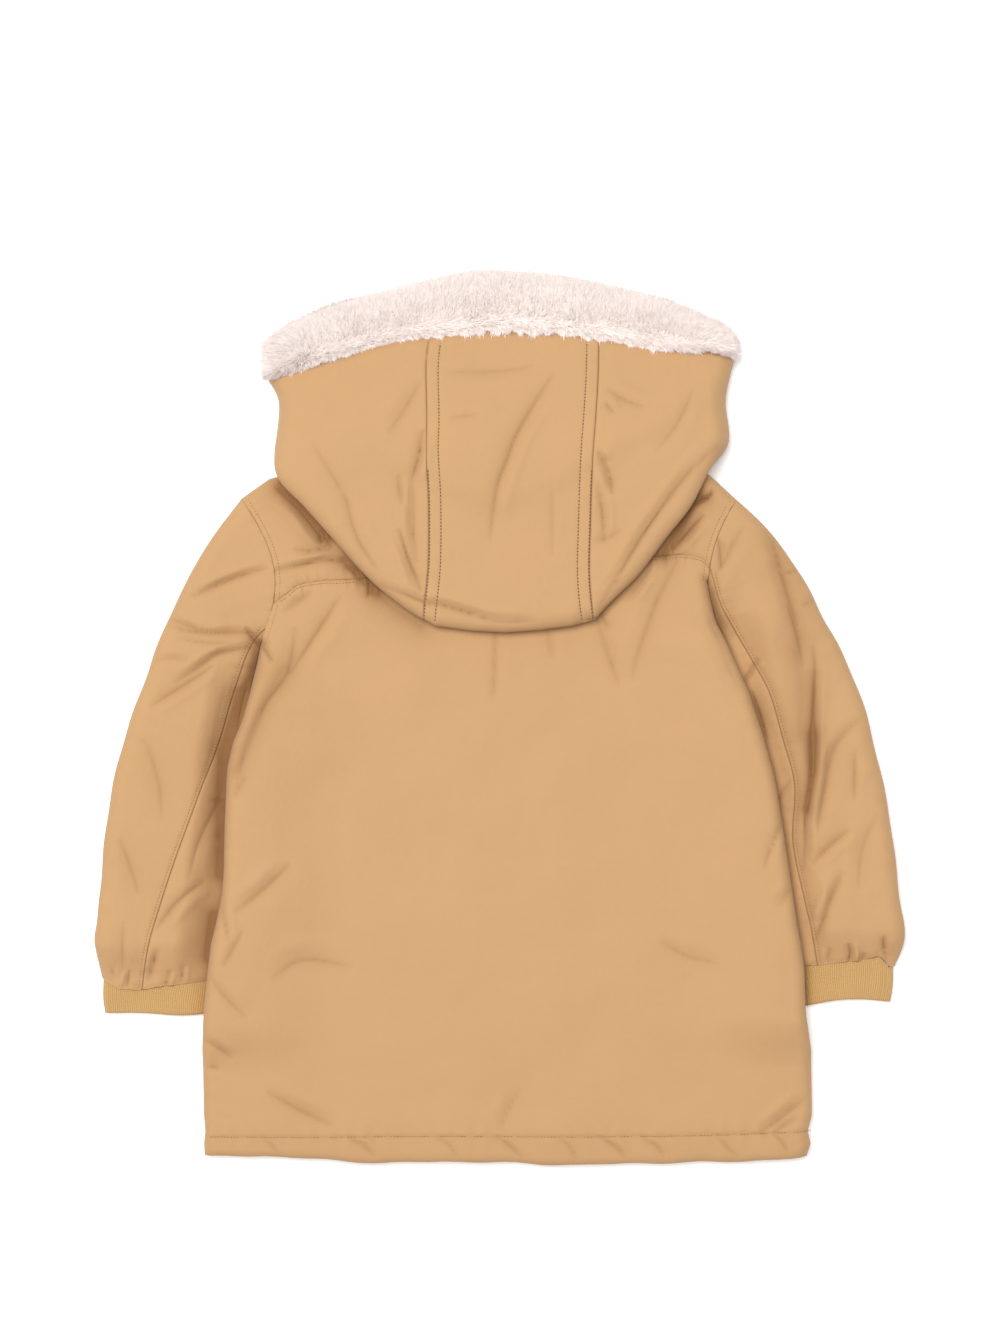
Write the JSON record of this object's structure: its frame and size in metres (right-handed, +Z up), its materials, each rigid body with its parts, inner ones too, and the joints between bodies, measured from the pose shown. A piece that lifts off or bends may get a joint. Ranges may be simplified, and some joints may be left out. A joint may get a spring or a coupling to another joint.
{
  "type": "fur trimmed parka laid flat",
  "caption": "Toddler's padded parka in tan cloth, laid flat on its front, with a panelled hood edged in cream fur and rib-knit cuffs",
  "frame": {"origin": "on the surface that the garment lies on, under the middle of its outline", "axes": "+Y from the hem to the hood, +X across the back to the garment's right sleeve, +Z up out of the surface"},
  "size_m": [0.5123, 0.5661, 0.0392],
  "materials": {
    "shell_cloth": "fine plain weave, soft matt tan",
    "rib_knit": "fine rib knit, matt tan",
    "fur": "dense cream pile"
  },
  "bodies": {
    "root": {"back_panel": "shell_cloth", "back_yoke": "shell_cloth", "front_left": "shell_cloth", "front_right": "shell_cloth", "front_placket": "shell_cloth", "sleeve_left_top": "shell_cloth", "sleeve_left_under": "shell_cloth", "sleeve_right_top": "shell_cloth", "sleeve_right_under": "shell_cloth", "cuff_left": "rib_knit", "cuff_right": "rib_knit", "hood_centre": "shell_cloth", "hood_side_left": "shell_cloth", "hood_side_right": "shell_cloth", "fur_trim": "fur"}
  },
  "joints": []
}
